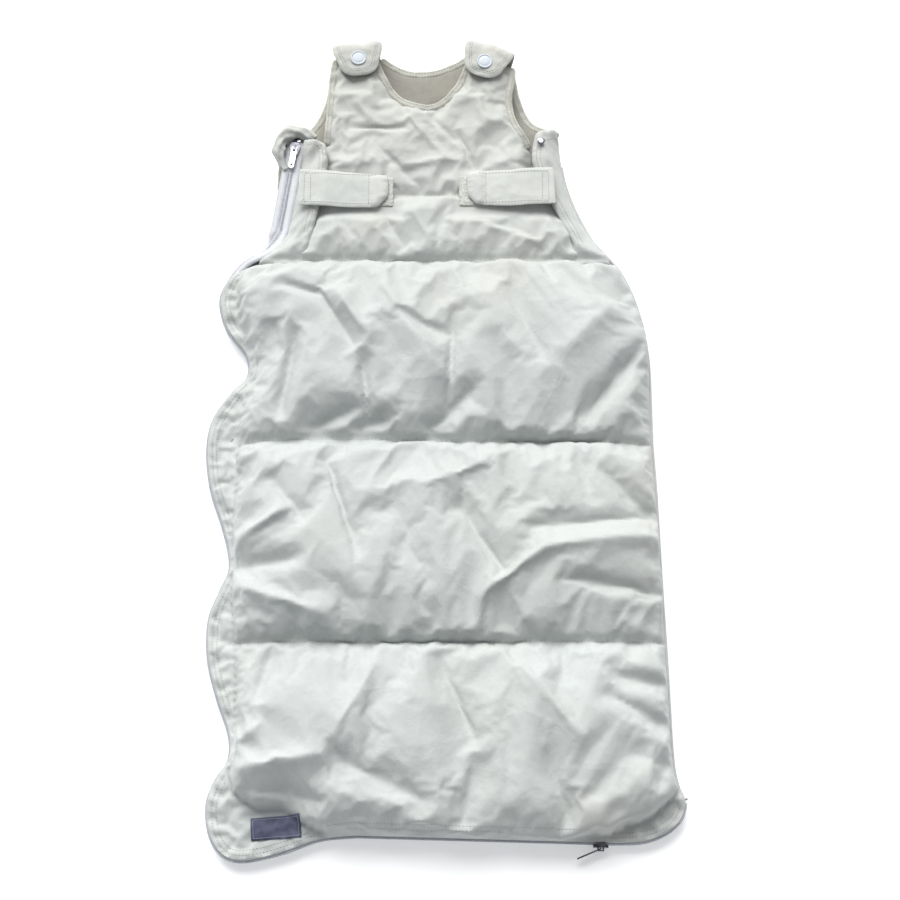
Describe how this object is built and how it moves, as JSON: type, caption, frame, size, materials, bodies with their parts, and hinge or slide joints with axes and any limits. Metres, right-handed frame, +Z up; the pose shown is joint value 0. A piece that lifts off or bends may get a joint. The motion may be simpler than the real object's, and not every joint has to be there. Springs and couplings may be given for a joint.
{
  "type": "baby sleeping bag",
  "caption": "Padded ecru cotton baby sleeping bag lying flat: quilted chambers, side-and-foot zip, popper shoulder tabs, hook-and-loop side straps.",
  "frame": {"origin": "middle of the overall outline in plan, at the height of the surface the bag lies on", "axes": "+Z up from the surface; +Y from the foot to the shoulders; +X to the right edge of the front as seen from above"},
  "size_m": [0.431, 0.7882, 0.058],
  "materials": {
    "cotton_shell": "matt ecru woven cotton",
    "cotton_lining": "matt brushed cotton",
    "wadding": "lofted polyester fibre",
    "binding": "matt cotton tape, edge-stitched",
    "zip_tape": "woven polyester tape",
    "zip_coil": "satin nylon coil",
    "zip_metal": "polished nickel plate",
    "stud_cap": "glossy white cap",
    "stud_metal": "satin spring steel",
    "hook_loop": "hook-and-loop tape",
    "label_cloth": "woven satin label, slate blue"
  },
  "bodies": {
    "bag": {"back_outer": "cotton_shell", "front_outer": "cotton_shell", "waist_outer": "cotton_shell", "bib_outer": "cotton_shell", "side_panel_left": "cotton_shell", "side_panel_right": "cotton_shell", "zip_garage": "cotton_shell", "shoulder_left": "cotton_shell", "shoulder_right": "cotton_shell", "back_lining": "cotton_lining", "front_lining": "cotton_lining", "waist_lining": "cotton_lining", "bib_lining": "cotton_lining", "back_wadding": "wadding", "front_wadding": "wadding", "waist_wadding": "wadding", "bib_wadding": "wadding", "neck_binding_front": "binding", "neck_binding_back": "binding", "armhole_binding_left_front": "binding", "armhole_binding_right_front": "binding", "armhole_binding_left_back": "binding", "armhole_binding_right_back": "binding", "side_seam": "binding", "zip_tape_back": "zip_tape", "zip_tape_front_upper": "zip_tape", "zip_tape_front_foot": "zip_tape", "zip_coil_back": "zip_coil", "zip_coil_front_upper": "zip_coil", "zip_coil_front_foot": "zip_coil", "zip_stop_top_back": "zip_metal", "zip_stop_top_front": "zip_metal", "zip_stop_foot": "zip_metal", "snap_stud_left": "stud_metal", "snap_stud_right": "stud_metal", "snap_post_left": "stud_metal", "snap_post_right": "stud_metal", "underarm_snap": "stud_metal", "loop_patch_left": "hook_loop", "loop_patch_right": "hook_loop"},
    "foot_corner": {"foot_corner_outer": "cotton_shell", "foot_corner_wadding": "wadding", "foot_corner_lining": "cotton_lining", "label": "label_cloth", "zip_tape_front_corner": "zip_tape", "zip_coil_front_corner": "zip_coil"},
    "shoulder_tab_left": {"shoulder_tab_left": "cotton_shell", "snap_cap_left": "stud_cap", "snap_socket_left": "stud_metal"},
    "shoulder_tab_right": {"shoulder_tab_right": "cotton_shell", "snap_cap_right": "stud_cap", "snap_socket_right": "stud_metal"},
    "strap_left": {"strap_left": "cotton_shell", "hook_patch_left": "hook_loop"},
    "strap_right": {"strap_right": "cotton_shell", "hook_patch_right": "hook_loop"},
    "zip_slider_top": {"zip_slider_top": "zip_metal"},
    "zip_puller_top": {"zip_puller_top": "zip_metal"},
    "zip_slider_foot": {"zip_slider_foot": "zip_metal"},
    "zip_puller_foot": {"zip_puller_foot": "zip_metal"}
  },
  "joints": [
    {"name": "foot_corner_fold", "type": "hinge", "parent": "bag", "child": "foot_corner", "pos_m": [-0.04395, -0.11305, 0.052], "axis": [-0.5104, 0.8599, 0], "range_deg": [0, 150]},
    {"name": "shoulder_tab_left_fold", "type": "hinge", "parent": "bag", "child": "shoulder_tab_left", "pos_m": [-0.08284, 0.38913, 0.01865], "axis": [-0.9925, -0.1219, 0], "range_deg": [0, 160]},
    {"name": "shoulder_tab_right_fold", "type": "hinge", "parent": "bag", "child": "shoulder_tab_right", "pos_m": [0.04959, 0.38648, 0.01865], "axis": [-0.9455, 0.3256, 0], "range_deg": [0, 160]},
    {"name": "strap_left_fold", "type": "hinge", "parent": "bag", "child": "strap_left", "pos_m": [-0.13445, 0.22735, 0.0407], "axis": [0.012, -0.9999, 0], "range_deg": [0, 160]},
    {"name": "strap_right_fold", "type": "hinge", "parent": "bag", "child": "strap_right", "pos_m": [0.1065, 0.22695, 0.0407], "axis": [0.03, 0.9996, 0], "range_deg": [0, 160]},
    {"name": "zip_slide_top", "type": "slide", "parent": "bag", "child": "zip_slider_top", "axis": [-0.1443, -0.9895, 0], "range_m": [0, 0.062]},
    {"name": "zip_puller_top_hinge", "type": "hinge", "parent": "zip_slider_top", "child": "zip_puller_top", "pos_m": [-0.1416, 0.28103, 0.01905], "axis": [-0.9895, 0.1443, 0], "range_deg": [0, 130]},
    {"name": "zip_slide_foot", "type": "slide", "parent": "bag", "child": "zip_slider_foot", "axis": [-0.9996, 0.0273, 0], "range_m": [0, 0.19]},
    {"name": "zip_puller_foot_hinge", "type": "hinge", "parent": "zip_slider_foot", "child": "zip_puller_foot", "pos_m": [0.13744, -0.38177, 0.009], "axis": [0, 0, 1], "range_deg": [-20, 120]}
  ]
}
